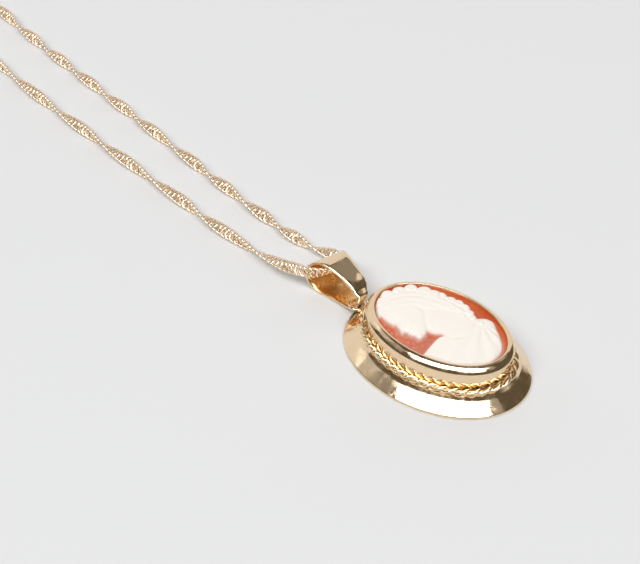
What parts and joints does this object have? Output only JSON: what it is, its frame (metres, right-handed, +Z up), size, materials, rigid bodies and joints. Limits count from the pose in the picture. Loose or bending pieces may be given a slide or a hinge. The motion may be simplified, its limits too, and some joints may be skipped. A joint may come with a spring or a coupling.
{
  "type": "cameo pendant on a chain",
  "caption": "Oval shell cameo with a raised bust in a gold setting with a twisted wire border, on a fine twisted chain with a folded bail.",
  "frame": {"origin": "middle of the outline on the surface that the necklace lies on", "axes": "+Z up from the surface to the bust, +Y from the pendant along the chain to the clasp, which is the bust's upright"},
  "size_m": [0.0669, 0.2384, 0.0062],
  "materials": {
    "gold": "polished pale yellow gold",
    "rope_gold": "polished yellow gold wire",
    "chain_gold": "fine polished gold links",
    "shell": null
  },
  "bodies": {
    "root": {"setting": "gold", "rope": "rope_gold", "cameo": "shell", "bail": "gold", "chain": "chain_gold", "clasp": "chain_gold", "end_ring": "chain_gold"}
  },
  "joints": []
}
